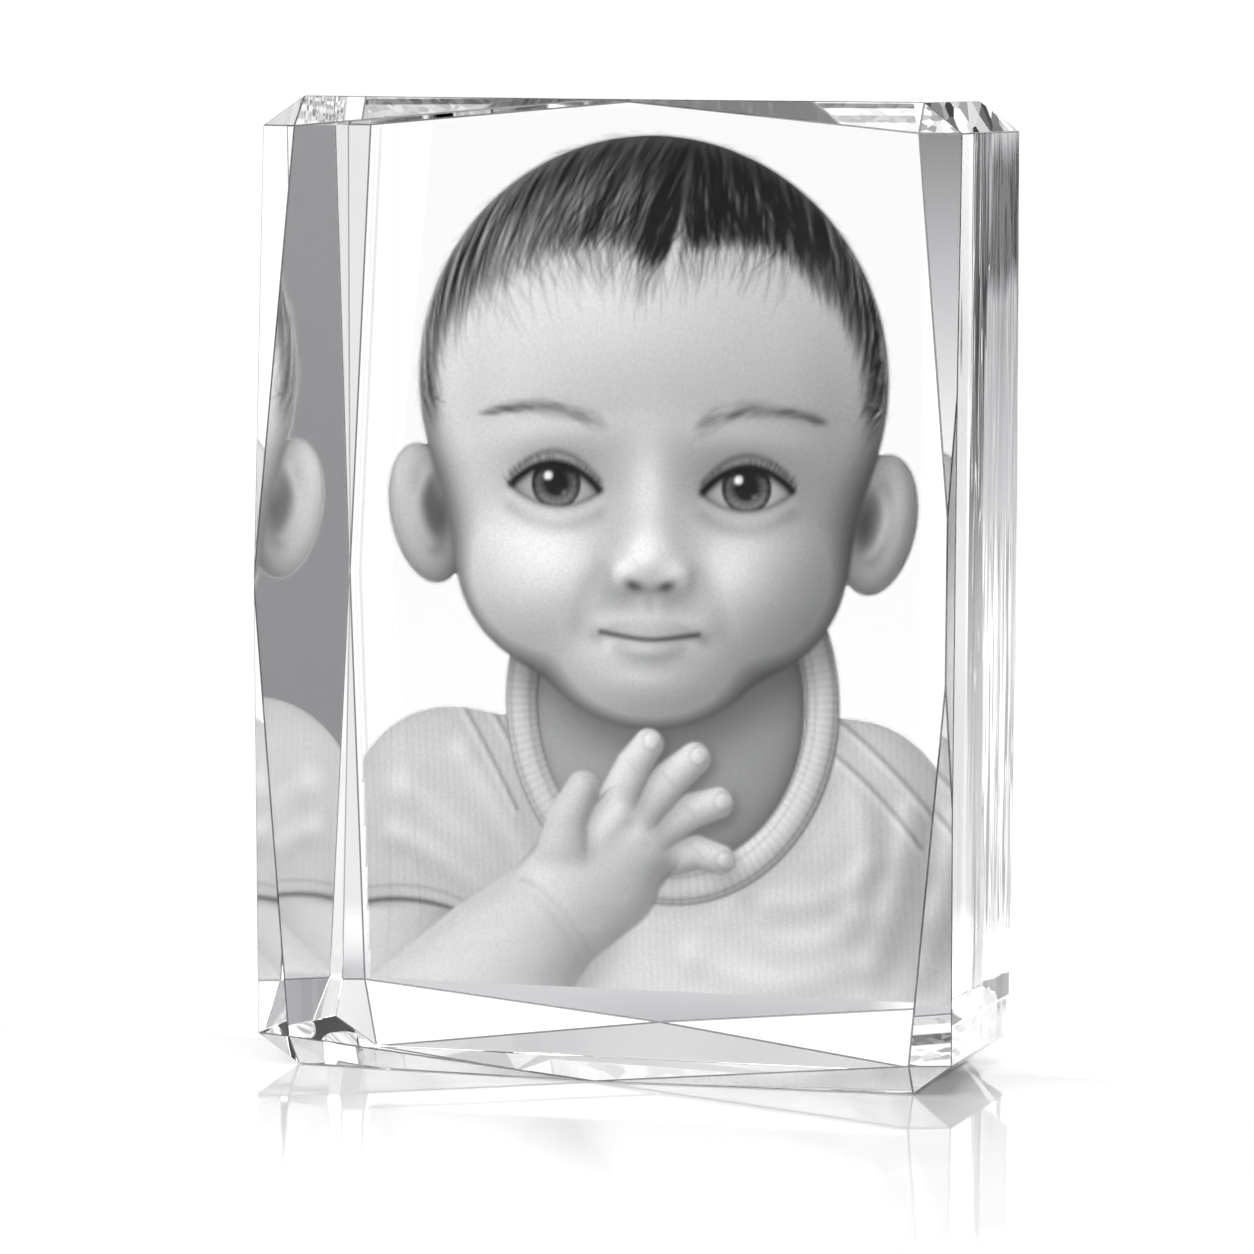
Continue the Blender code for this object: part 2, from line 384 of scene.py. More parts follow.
def dressed_body():
    """Chest, sleeves, one upper arm, neck and collar of a ribbed cotton bodysuit."""
    figure = np.zeros(X.shape)
    tone = np.full(X.shape, 1.0)
    torso = merged([
        oval(-0.5, 0, 36, 45, power=2.5),
        oval(-26.5, 25.5, 15.5, 18.0, 24), oval(22.5, 25.5, 15.5, 18.0, -24),
    ], 0.15)
    torso_height = dome(torso, 17, 1e-4)
    folds = np.zeros(X.shape)
    for points, width, depth in (
        (((-35, 33), (-29, 29), (-21, 22)), 2.2, 1.1), (((-36, 27), (-30, 24), (-22, 19)), 1.8, 0.9),
        (((-27, 38), (-22, 31), (-18, 24)), 1.8, 0.8), (((22, 38), (26, 30), (25, 20)), 2.2, 0.9),
        (((32, 32), (30, 23), (27, 13)), 2.0, 1.2), (((9, 19), (17, 15), (25, 18)), 2.4, 0.8),
        (((4, 13), (14, 10), (24, 13)), 2.2, 0.7), (((27, 26), (21, 21), (14, 20)), 1.8, 0.5),
    ):
        folds += depth * line(points, width)
        folds -= depth * 0.7 * line([(x + 2.2, z - 2.0) for x, z in points], width * 1.2)
    for tilt, size, depth in ((35, 11.0, 0.11), (-50, 15.0, 0.12), (75, 8.0, 0.05)):
        way = X * np.cos(np.radians(tilt)) + Z * np.sin(np.radians(tilt))
        folds += depth * np.sin(way * 2 * np.pi / size + 1.3 * np.sin(Z / 7 + tilt))
    rib_spacing = 0.9
    weave = np.sin((X + 0.05 * (Z - 20) + 0.5 * folds) * 2 * np.pi / rib_spacing)
    cloth = lit(0.8 * torso_height + 0.8 * folds, 0.50, 0.87, 1.4)
    cloth = cloth * hollows(folds, 1.8, 0.28) + 0.012 * weave
    for points in (((-25.5, 47), (-21, 40), (-16.5, 32)), ((-28, 45.5), (-23.5, 38), (-19.5, 30.5)),
                   ((17, 46.5), (26, 40.5), (35.5, 31)), ((15, 43), (24.5, 37), (33.5, 27.5))):
        cloth -= 0.17 * line(points, 0.30)
        cloth += 0.06 * line([(x - 0.5, z - 0.5) for x, z in points], 0.4)
    cloth -= 0.40 * line(((-41, 17.6), (-33, 18.4), (-25, 16.4)), 0.35)
    cloth -= 0.10 * line(((-41, 19.4), (-33, 20.2), (-26, 18.3)), 0.25)
    tone, figure = lay(tone, figure, cover(torso, 0.35), cloth)
    arm = oval(-33.5, 9, 9.5, 12, 10)
    below_sleeve = step(17.9, 17.1, Z + 0.01 * (X + 33) ** 2) * step(-24, -26, X)
    upper_arm = lit(dome(arm, 9), 0.36, 0.84)
    tone, figure = lay(tone, figure, below_sleeve * cover(arm), upper_arm)

    # Neck, with the collar band round it
    ring = np.sqrt(np.clip(1 - oval(0.8, 44.5, 19.8, 23.0), 0, None)) - 1
    band_height = 3.0 * np.sqrt(np.clip(1 - (ring / 0.115) ** 2, 0, 1))
    band_tone = lit(soften(band_height, 0.5), 0.50, 0.90, 1.5)
    band_tone += 0.022 * np.sin(np.arctan2(Z - 44.5, X - 0.8) * 130)
    for offset, depth in ((0.105, 0.25), (-0.105, 0.22), (0.072, 0.10), (-0.05, 0.08)):
        band_tone -= depth * np.exp(-((ring - offset) / 0.010) ** 2)
    tone, figure = lay(tone, figure, cover(oval(0.8, 44.5, 22.0, 25.4), 0.35), band_tone, 0.12, 1.4)
    neck = oval(0.5, 44, 17.5, 20.5)
    neck_tone = lit(dome(neck, 6), 0.30, 0.74)
    return lay(tone, figure, cover(oval(0.8, 44.5, 17.6, 20.6), 0.3), neck_tone)


def head(tone, figure):
    middle = print_middle
    for side in (-1, 1):
        x = middle + side * 29.6
        ear = oval(x, 67.5, 5.0, 9.0, -side * 12)
        height = dome(ear, 5)
        height -= 2.4 * mound(x - side * 0.6, 68.3, 2.5, 5.2, -side * 12)
        height += 0.8 * line(((x - side * 0.3, 72.5), (x + side * 0.9, 68), (x - side * 0.9, 63.5)), 0.9)
        ear_tone = lit(soften(height, 0.4), 0.36, 0.80) * hollows(height, 1.5, 0.5)
        ear_tone *= 1 - 0.38 * mound(x - side * 1.9, 67.0, 1.7, 3.4)
        tone, figure = lay(tone, figure, cover(ear), ear_tone)

    skull = merged([
        oval(middle, 84.9, 30.9, 30.5), oval(middle, 67.5, 26.2, 23.0), oval(middle, 53.0, 15.0, 11.9),
        oval(middle - 10.5, 61.0, 14.6, 13.0), oval(middle + 10.5, 61.0, 14.6, 13.0),
    ], 0.10)
    height = soften(dome(skull, 23, 1e-4), 1.8)
    for side in (-1, 1):
        eye = middle + side * 12.6
        height -= 2.3 * mound(eye - side * 0.8, 71.8, 7.6, 4.8)
        height += 0.6 * mound(eye, 78.6, 9.5, 2.8, -side * 4)
        height += 1.5 * mound(middle + side * 14.2, 58.2, 8.6, 7.6)
        height += 1.35 * mound(middle + side * 3.7, 60.2, 1.9, 1.7)
        height -= 0.35 * line(((middle + side * 6.2, 60.6), (middle + side * 8.6, 57.4),
                               (middle + side * 9.4, 53.6)), 1.5)
        height -= 0.6 * mound(middle + side * 24.5, 82, 5, 9)
        height += 0.25 * mound(middle + side * 1.2, 56.8, 0.8, 1.6)
    height += 1.1 * mound(middle, 70.0, 3.2, 8.0)
    height += 3.1 * mound(middle, 61.9, 3.9, 3.5)
    height += 1.2 * mound(middle, 94, 17, 10)
    height += 0.75 * mound(middle, 54.2, 5.0, 1.3)
    height += 1.0 * mound(middle, 51.0, 4.3, 1.6)
    height -= 0.5 * mound(middle, 48.4, 5.4, 1.5)
    height += 1.3 * mound(middle, 45.6, 6.2, 3.6)
    skin = lit(soften(height, 0.5), 0.40, 0.84, 1.35)
    skin = skin * hollows(height, 2.2, 0.42) * hollows(height, 5.5, 0.34)
    skin *= 1 - 0.16 * step(2, 27, X - middle) * step(100, 60, Z)
    edge = np.clip(1 - skull * 6, 0, 1)
    skin *= 1 - 0.10 * edge ** 2
    skin += 0.035 * mound(middle - 0.9, 63.2, 1.2, 1.3) + 0.02 * mound(middle - 8, 92, 9, 6)

    # Nostrils, lips and the line between them
    for side in (-1, 1):
        skin *= 1 - 0.50 * mound(middle + side * 2.2, 59.1, 1.15, 0.62, side * 18)
        skin *= 1 - 0.16 * mound(middle + side * 7.0, 52.7, 1.0, 1.0)
        skin *= 1 - 0.10 * mound(middle + side * 5.3, 60.2, 0.8, 1.6)
    skin *= 1 - 0.10 * mound(middle, 58.6, 3.0, 0.8)
    lips = cover(merged([oval(middle - 2.0, 53.6, 4.3, 1.5, 7), oval(middle + 2.0, 53.6, 4.3, 1.5, -7),
                         oval(middle, 51.4, 4.9, 1.9)], 0.05), 0.9)
    skin *= 1 - 0.15 * lips
    skin += 0.06 * mound(middle - 0.6, 51.0, 2.6, 0.7)
    parting = line(((middle - 6.4, 53.2), (middle - 2.5, 52.4), (middle, 52.6), (middle + 2.5, 52.4),
                    (middle + 6.4, 53.2)), 0.36)
    skin *= 1 - 0.50 * parting

    # Eyes
    for side in (-1, 1):
        x = middle + side * 12.6
        half = 5.9
        along = (X - x) / half
        tilt = 0.25 * side * (X - x) / half
        upper = 71.0 + tilt + 3.1 * np.clip(1 - along ** 2, 0, None) ** 0.72
        lower = 71.0 + tilt - 2.15 * np.clip(1 - along ** 2, 0, None) ** 0.8
        opening = step(-0.3, 0.3, upper - Z) * step(-0.3, 0.3, Z - lower) * (np.abs(along) < 1)
        ball = 0.80 - 0.26 * along ** 2 - 0.30 * step(-1.8, 0, Z - upper)
        iris_x, iris_z = x - 0.1 * side, 71.6
        far = np.hypot(X - iris_x, Z - iris_z)
        spokes = 0.025 * np.sin(17 * np.arctan2(Z - iris_z, X - iris_x))
        iris = 0.22 + 0.16 * step(1.2, 2.5, far) - 0.24 * step(2.4, 3.2, far) + spokes
        iris = iris + 0.14 * step(71.8, 69.2, Z) - 0.22 * step(72.2, 74.0, Z)
        iris = iris * step(1.15, 1.6, far) + 0.04 * step(1.6, 1.15, far)
        disc = step(3.45, 3.0, far)
        ball = ball * (1 - disc) + np.clip(iris, 0.03, 1) * disc
        for dx, dz, size, glow in ((-1.0, 1.0, 0.62, 0.95), (0.9, -0.9, 0.4, 0.25)):
            near = ((X - iris_x - dx) ** 2 + (Z - iris_z - dz) ** 2) / size ** 2
            ball = ball + glow * np.exp(-near ** 2)
        skin = skin * (1 - opening) + np.clip(ball, 0, 1) * opening
        edge_x = np.linspace(-1, 1, 25) * half
        arch = np.clip(1 - (edge_x / half) ** 2, 0, None)
        top = np.stack([x + edge_x, 71.0 + 0.25 * side * edge_x / half + 3.1 * arch ** 0.72], axis=1)
        base = np.stack([x + edge_x, 71.0 + 0.25 * side * edge_x / half - 2.15 * arch ** 0.8], axis=1)
        fold = np.stack([x + edge_x, top[:, 1] + 1.5 - 0.5 * (1 - arch)], axis=1)
        skin *= 1 - 0.70 * line(top, 0.45)
        skin *= 1 - 0.22 * line(base, 0.38)
        skin += 0.04 * line(base + (0, -1.0), 0.7)
        skin *= 1 - 0.24 * line(fold, 0.42)
        skin *= 1 - 0.10 * line(base + (0, -2.6), 0.9)
        lashes = np.zeros(X.shape)
        for t in np.linspace(-0.9, 1.0, 22):
            e = t * half * side
            z0 = 71.0 + 0.25 * side * e / half + 3.1 * max(1 - t * t, 0) ** 0.72
            lean = 0.5 * t * side + chance.normal(0, 0.1)
            long = 0.9 + 0.5 * (t > 0) + chance.normal(0, 0.12)
            bend = (x + e + lean * 0.8, z0 + 0.5)
            stroke(lashes, [(x + e, z0), bend, (x + e + lean * long * 1.4, z0 + long)], 0.35, 0.8)
        skin *= np.exp(-0.6 * lashes)
        brow = np.zeros(X.shape)
        for n in range(260):
            t = chance.uniform(-1, 1)
            e = x + side * (t * 8.0 + 0.6)
            z0 = 79.4 + 1.7 * (1 - (t - 0.2) ** 2) + chance.normal(0, 0.5) * (1.0 - 0.5 * t)
            rise = 0.55 - 0.5 * t
            bend = (e + side * 1.2, z0 + 0.8 * rise)
            stroke(brow, [(e, z0), bend, (e + side * 2.4, z0 + rise)], 0.35, 0.3)
        skin *= np.exp(-0.33 * soften(brow, 0.16))
        skin *= 1 - 0.07 * mound(x + side * 0.5, 80.7, 8, 1.7, -side * 3)

    tone, figure = lay(tone, figure, cover(skull, 0.35), skin, 0.42, 2.6, (1.2, -3.2))
    return tone, figure, skull


def hair(tone, figure, skull):
    """Short fine hair combed forward from the crown, with a thin fringe."""
    middle, crown = print_middle, 85.0
    turn = np.degrees(np.arctan2(X - middle, Z - crown))
    far = np.hypot((X - middle) / 30.9, (Z - crown) / 30.5)
    whorl = 10.0

    def hairline(angle):
        """How far from the crown the hair starts, with a tuft in the middle and higher sides."""
        base = 0.62 + 0.31 * step(22, 70, np.abs(angle))
        tuft = -0.13 * np.exp(-((angle - 4) / 9) ** 2)
        left_rise = 0.06 * np.exp(-((angle + 30) / 15) ** 2)
        right_rise = 0.10 * np.exp(-((angle - 34) / 14) ** 2)
        return base + tuft + left_rise + right_rise

    dark, light, dense = (np.zeros(X.shape) for _ in range(3))

    def place(angle, radius):
        angle = np.radians(angle)
        return middle + 30.9 * radius * np.sin(angle), crown + 30.5 * radius * np.cos(angle)

    s = np.linspace(0, 1, 7)
    for n in range(6500):
        start = np.clip(whorl + chance.normal(0, 1) * 46, -96, 96)
        side = 1 if start > whorl else -1
        off = abs(start - whorl)
        lowest = float(hairline(start)) - chance.uniform(-0.06, 0.07)
        radius = chance.uniform(min(lowest + 0.06, 0.97), 1.0)
        long = chance.uniform(0.5, 1.0)
        sweep = side * (6 + 22 * min(off / 60, 1)) * long
        drop = min((0.30 - 0.24 * min(off / 75, 1)) * long, max(radius - lowest, 0.01))
        furthest = chance.uniform(80, 104)
        sweep = side * max(min(abs(sweep), furthest - abs(start)), 1)
        angle = start + sweep * s + chance.normal(0, 2.0) * s ** 2
        path = np.stack(place(angle, np.minimum(radius - drop * s ** 1.2, 1.004)), axis=1)
        stroke(dark if chance.random() < 0.62 else light, path, 0.3, 1.0)
        stroke(dense, path, 0.3, 1.0)
    for n in range(340):
        start = chance.uniform(-62, 46)
        radius = float(hairline(start)) + chance.uniform(-0.04, 0.10)
        lean = chance.normal(-7 if start < 8 else 9, 6)
        long = chance.uniform(0.10, 0.30)
        path = np.stack(place(start + lean * s, radius - long * s), axis=1)
        amount = chance.uniform(0.5, 1.5)
        stroke(dense, path, 0.3, 0.6 * amount)
        stroke(dark, path, 0.3, 0.5 * amount)
    for n in range(70):
        start = chance.uniform(-58, 2)
        radius = float(hairline(start)) + chance.uniform(0.02, 0.16)
        long = chance.uniform(0.14, 0.36)
        lean = chance.uniform(-30, -8)
        path = np.stack(place(start + lean * s ** 1.4, radius - long * s), axis=1)
        amount = chance.uniform(0.5, 1.3)
        stroke(dense, path, 0.3, 0.6 * amount)
        stroke(dark, path, 0.3, 0.5 * amount)
    edge = hairline(turn)
    mass = step(edge, edge + 0.26, far) * step(104, 70, np.abs(turn))
    thin = 1 - 0.72 * step(44, 84, np.abs(turn))
    inside = cover(skull + 0.012, 0.6)
    amount = (1 - np.exp(-(0.42 * dense + 1.5 * mass * thin))) * inside
    shape = lit(soften(dome(skull, 31, 1e-4), 2.0), 0.30, 0.86)
    sheen = np.exp(-((far - 0.80) / 0.09) ** 2) * np.exp(-((turn + 30) / 26) ** 2)
    sheen += 0.7 * np.exp(-((far - 0.82) / 0.07) ** 2) * np.exp(-((turn - 38) / 20) ** 2)
    strand = 0.32 * shape + 0.20 * step(35, 85, np.abs(turn)) + 0.14 * sheen + 0.070 * (light - 0.75 * dark)
    strand -= 0.07 * np.exp(-((turn - 16) / 22) ** 2)
    strand += 0.10 * step(0.93, 1.0, far) + 0.14 * np.exp(-((turn + 48) / 26) ** 2)
    tone = tone * (1 - amount) + np.clip(strand, 0.08, 0.75) * amount
    wisps = np.zeros(X.shape)
    for n in range(150):
        start = chance.uniform(-95, 95)
        side = 1 if start > whorl else -1
        path = np.stack(place(start + side * 9 * s, 0.985 + chance.uniform(0.01, 0.035) * s), axis=1)
        stroke(wisps, path, 0.3, 0.45)
    show = (1 - np.exp(-0.8 * wisps)) * (1 - inside)
    tone = tone * (1 - show) + 0.35 * show
    return tone, np.maximum(figure, np.clip(show * 1.5, 0, 1))


def hand(tone, figure):
    """A bent arm with a relaxed hand laid on the chest, its fingers a little spread."""
    arm = limb(((-33, -1), (-22, 10), (-14.5, 17.5)), (11.0, 9.6, 7.6))
    height = dome(arm, 9.5)
    crease = ((-18.6, 21.6), (-14.0, 18.6), (-9.6, 12.8))
    height -= 0.9 * line(crease, 0.8)
    skin = lit(soften(height, 0.9), 0.40, 0.86) * (1 - 0.16 * line(crease, 0.45))
    tone, figure = lay(tone, figure, cover(arm), skin, 0.30, 2.0, (1.2, -1.6))
    fingers = (
        ((0.0, 25.0), (4.3, 26.0), (7.4, 25.2), 2.15), ((-1.1, 28.3), (3.4, 31.0), (7.0, 32.2), 2.4),
        ((-3.2, 30.8), (0.6, 34.8), (3.9, 37.6), 2.5), ((-6.2, 32.4), (-4.2, 36.4), (-2.2, 39.2), 2.4),
    )
    for base, joint, tip, radius in fingers:
        shape = limb((base, joint, tip), (radius * 1.08, radius, radius * 0.86))
        height = dome(shape, 0.95 * radius)
        crease = ((joint[0] - 0.9, joint[1] + 0.9), joint, (joint[0] + 0.9, joint[1] - 0.9))
        height -= 0.30 * line(crease, 0.35)
        skin = lit(soften(height, 0.45), 0.40, 0.86) * hollows(height, 1.2, 0.35)
        tone, figure = lay(tone, figure, cover(shape), skin, 0.34, 0.9, (0.6, -0.9))
        way = np.subtract(tip, joint) / np.hypot(*np.subtract(tip, joint))
        nail_x, nail_z = tip[0] + 0.75 * way[0], tip[1] + 0.75 * way[1]
        slant = np.degrees(np.arctan2(way[1], way[0]))
        nail = cover(oval(nail_x, nail_z, 1.15, 0.95, slant), 0.3)
        rim = cover(oval(nail_x, nail_z, 1.45, 1.25, slant), 0.3) - nail
        tone = tone * (1 - 0.10 * rim) + 0.05 * nail
    back = merged([limb(((-15.5, 16.5), (-8.6, 23.0), (-3.4, 27.4)), (7.4, 8.2, 6.0)),
                   limb(((-9.0, 27.0), (-5.6, 31.0)), (3.6, 2.9))], 0.10)
    height = dome(back, 7.2)
    for base, joint, tip, radius in fingers:
        height -= 0.45 * mound(base[0] - 1.2, base[1] - 1.4, 0.9, 0.9)
        height += 0.35 * mound(base[0] - 0.1, base[1] - 0.1, 1.8, 1.6)
    height -= 0.7 * line(((-19.0, 20.2), (-15.0, 17.0), (-11.4, 11.8)), 0.7)
    skin = lit(soften(height, 0.9), 0.40, 0.86) * hollows(height, 1.5, 0.30)
    along = X * 0.74 + Z * 0.67
    joined = step(19.4, 15.8, along) * step(-2.5, 4.5, along)
    tone, figure = lay(tone, figure, cover(back, 0.5) * joined, skin, 0.0)
    thumb = limb(((-13.6, 24.0), (-12.9, 29.2), (-10.8, 33.4)), (3.6, 2.75, 2.2))
    height = dome(thumb, 2.6)
    skin = lit(soften(height, 0.5), 0.42, 0.87)
    apart = step(-1.5, 2.0, Z - 24.5)
    tone, figure = lay(tone, figure, cover(thumb) * apart, skin, 0.26, 0.9, (0.7, -0.7))
    return tone, figure


def draw():
    tone, figure = dressed_body()
    tone, figure, skull = head(tone, figure)
    tone, figure = hair(tone, figure, skull)
    tone, figure = hand(tone, figure)
    return np.clip(tone, 0, 1), figure


give_material("photo_film", clear_film("clear_print_film", print_haze, film_rim))
tone, figure = draw()

# The film is widest half way up the block, and its sides run straight to its four corners.
corner_half, corner_height = 38.9, 115.9
widest_height = 60
narrowing = half_print - corner_half
film_half = np.where(
    Z < widest_height,
    half_print - (widest_height - Z) * narrowing / (widest_height - print_low),
    half_print - (Z - widest_height) * narrowing / (corner_height - widest_height),
)
figure = figure * (np.abs(X) <= film_half)
wanted = figure > 0.01
faces_wanted = wanted[:-1, :-1] | wanted[1:, :-1] | wanted[:-1, 1:] | wanted[1:, 1:]
print_y = 0.02122
columns = len(across)
number = np.arange(X.size).reshape(X.shape)
corner_sets = [number[:-1, :-1], number[:-1, 1:], number[1:, 1:], number[1:, :-1]]
quads = np.stack([c[faces_wanted] for c in corner_sets], axis=1)
used, quads = np.unique(quads, return_inverse=True)
quads = quads.reshape(-1, 4)
points = np.stack([X.ravel()[used] / 1000, np.full(len(used), print_y), Z.ravel()[used] / 1000], axis=1)
mesh = bpy.data.meshes.new("ink_print")
mesh.vertices.add(len(points))
mesh.vertices.foreach_set("co", points.ravel())
mesh.loops.add(quads.size)
mesh.loops.foreach_set("vertex_index", quads.ravel())
mesh.polygons.add(len(quads))
mesh.polygons.foreach_set("loop_start", np.arange(0, quads.size, 4))
mesh.update()
layer = mesh.color_attributes.new("print_tone", "FLOAT_COLOR", "POINT")
shown = tone.ravel()[used]

# The ink's own shade is what is left of the tone once the light and the glass's glare are taken out.
light_on_print = 1.04
glare = 0.02
darkest_ink, lightest_ink = 0.004, 0.96
ink_droplet = 0.0003
paper = np.where(shown <= 0.04045, shown / 12.92, ((shown + 0.055) / 1.055) ** 2.4)
paper = np.clip((paper - glare) / light_on_print, darkest_ink, lightest_ink)
colours = np.stack([paper, paper, paper, np.clip(figure.ravel()[used], 0, 1)], axis=1)
layer.data.foreach_set("color", colours.ravel())
made, tree, shader = new_material("pigment_ink_print")
attribute = add_node(tree, "ShaderNodeAttribute", {"attribute_name": "print_tone"})
place = add_node(tree, "ShaderNodeNewGeometry").outputs["Position"]
droplets = add_node(
    tree, "ShaderNodeTexNoise", {"Scale": 1 / ink_droplet, "Detail": 1.0}, {"Vector": place}
)
grain = add_node(
    tree, "ShaderNodeMapRange", {"From Min": 0.25, "From Max": 0.75, "To Min": 0.93, "To Max": 1.07},
    {"Value": droplets.outputs["Fac"]},
)
inked = add_node(
    tree, "ShaderNodeVectorMath", {"operation": "SCALE"},
    {0: attribute.outputs["Color"], 3: grain.outputs["Result"]},
)
tree.links.new(inked.outputs[0], shader.inputs["Base Color"])
tree.links.new(attribute.outputs["Alpha"], shader.inputs["Alpha"])
shader.inputs["Roughness"].default_value = 0.6
shader.inputs["Specular IOR Level"].default_value = 0.1
new_piece("ink_print", mesh, made, None)

# White layer: opaque matt vinyl film, cut to the figure a little inside its outline and laid behind
# the ink. It makes the ink read as on paper, while the glass round it stays clear.
cut_back = 0.35
every_other = 2
inked_enough = 0.6
outline = []
middle_column = np.searchsorted(across, print_middle)
for row in range(0, len(upward), every_other):
    bare = figure[row] < inked_enough
    if not bare[middle_column]:
        first = np.nonzero(np.append(True, bare[:middle_column]))[0][-1]
        last = middle_column + np.nonzero(np.append(bare[middle_column:], True))[0][0] - 1
        outline.append((across[first] + cut_back, across[last] - cut_back, upward[row]))
white_front, white_back = 0.0215, 0.0219
vinyl_grain = 0.0008
vinyl_sheen, vinyl_matt = 0.35, 0.60
mesh = bpy.data.meshes.new("white_layer")
solid = bmesh.new()
rings = []
for left, right, z in outline:
    corners = ((left, white_front), (right, white_front), (right, white_back), (left, white_back))
    rings.append([solid.verts.new((x / 1000, y, z / 1000)) for x, y in corners])
for low, high in zip(rings[:-1], rings[1:]):
    for k in range(4):
        solid.faces.new((low[k], low[(k + 1) % 4], high[(k + 1) % 4], high[k]))
solid.faces.new(rings[0])
solid.faces.new(rings[-1])
bmesh.ops.recalc_face_normals(solid, faces=solid.faces)
solid.to_mesh(mesh)
solid.free()
made, tree, shader = new_material("white_vinyl_film")
place = add_node(tree, "ShaderNodeNewGeometry").outputs["Position"]
calender = add_node(
    tree, "ShaderNodeTexNoise", {"Scale": 1 / vinyl_grain, "Detail": 3.0}, {"Vector": place}
)
sheen = add_node(
    tree, "ShaderNodeMapRange", {"To Min": vinyl_sheen, "To Max": vinyl_matt},
    {"Value": calender.outputs["Fac"]},
)
tree.links.new(sheen.outputs["Result"], shader.inputs["Roughness"])
white = add_node(tree, "ShaderNodeMix", {"data_type": "RGBA"}, {"Factor": calender.outputs["Fac"]})
white.inputs[6].default_value = linear("#EFEFEC")
white.inputs[7].default_value = linear("#F5F5F4")
tree.links.new(white.outputs[2], shader.inputs["Base Color"])
new_piece("white_layer", mesh, made, "white_backing_film")

# Cover: a clear hard-coated polyester film, pressed over the back to protect the print. Only its
# gloss and its pale cut edge show.
give_material("back_cover_film", clear_film("clear_cover_film", print_haze, film_rim))

# Studio: a plain white surround, bright in front, with dark flags and lamp grids off to the sides.
# The camera sees only the white. The facets bend their view to the sides, so they show the flags as
# grey, black and sparkling faces, as cut crystal does.
world = bpy.data.worlds.new("studio")
bpy.context.scene.world = world
world.use_nodes = True
tree = world.node_tree
direction = add_node(tree, "ShaderNodeTexCoord").outputs["Generated"]
parts = add_node(tree, "ShaderNodeSeparateXYZ", links={"Vector": direction})
turn = add_node(
    tree, "ShaderNodeMath", {"operation": "ARCTAN2"}, {0: parts.outputs["X"], 1: parts.outputs["Y"]}
)
rise = add_node(tree, "ShaderNodeMath", {"operation": "ARCSINE"}, {0: parts.outputs["Z"]})


def within(angle, low, high, soft):
    """1 between two angles in degrees, 0 outside, with a soft change."""
    middle, half = (low + high) / 2, (high - low) / 2
    off = add_node(
        tree, "ShaderNodeMath", {"operation": "SUBTRACT", 1: math.radians(middle)}, {0: angle.outputs[0]}
    )
    off = add_node(tree, "ShaderNodeMath", {"operation": "ABSOLUTE"}, {0: off.outputs[0]})
    return add_node(
        tree, "ShaderNodeMapRange",
        {"From Min": math.radians(half + soft), "From Max": math.radians(half)}, {"Value": off.outputs[0]},
    ).outputs["Result"]


def streaks(apart):
    """A pattern that changes with the turn alone, which the glass draws as upright streaks."""
    dark_below, light_above = 0.36, 0.64
    scaled = add_node(
        tree, "ShaderNodeMath", {"operation": "MULTIPLY", 1: math.degrees(1) / apart}, {0: turn.outputs[0]}
    )
    noise = add_node(
        tree, "ShaderNodeTexNoise", {"noise_dimensions": "1D", "Scale": 1.0, "Detail": 1.0},
        {"W": scaled.outputs[0]},
    )
    return add_node(
        tree, "ShaderNodeMapRange", {"From Min": dark_below, "From Max": light_above},
        {"Value": noise.outputs["Fac"]},
    ).outputs["Result"]


broad, fine = streaks(2.5), streaks(0.9)

# A second pattern of small flat cells, like a lamp's honeycomb grid, for what the corners pick up.
cells_across, cells_up = 170.0, 420.0
grid_way = add_node(tree, "ShaderNodeVectorMath", {"operation": "MULTIPLY"}, {0: direction})
grid_way.inputs[1].default_value = (cells_across, cells_across, cells_up)


def honeycomb(finer):
    """One tone for each small cell of directions."""
    grid = add_node(tree, "ShaderNodeTexVoronoi", {"Scale": finer}, {"Vector": grid_way.outputs[0]})
    return add_node(tree, "ShaderNodeSeparateColor", links={"Color": grid.outputs["Color"]}).outputs[0]


cells, slivers, shards = honeycomb(1.0), honeycomb(2.5), honeycomb(5.0)


def sloping(slope):
    """The rise, counted from a line that climbs with the turn, as a facet's edge does."""
    return add_node(
        tree, "ShaderNodeMath", {"operation": "MULTIPLY_ADD", 1: -slope},
        {0: turn.outputs[0], 2: rise.outputs[0]},
    )


from_top_right_edge, from_top_left_edge = sloping(0.048), sloping(0.105)

# The large soft light in front of the block starts just above the table and ends beside the block.
front_light, low_front_light, back_light = 3.4, 1.0, 1.05
light_starts, light_full = -0.08, 0.06
front_ends, back_starts = -0.12, 0.05
world.cycles.sampling_method = "NONE"
in_front = add_node(
    tree, "ShaderNodeMapRange",
    {"From Min": light_starts, "From Max": light_full, "To Min": low_front_light, "To Max": front_light},
    {"Value": parts.outputs["Z"]},
)
behind = add_node(
    tree, "ShaderNodeMapRange", {"From Min": front_ends, "From Max": back_starts},
    {"Value": parts.outputs["Y"]},
)
lights = add_node(
    tree, "ShaderNodeMix", {"data_type": "FLOAT", "B": back_light}, {"Factor": behind.outputs["Result"]}
)
tree.links.new(in_front.outputs["Result"], lights.inputs["A"])
lights = lights.outputs["Result"]

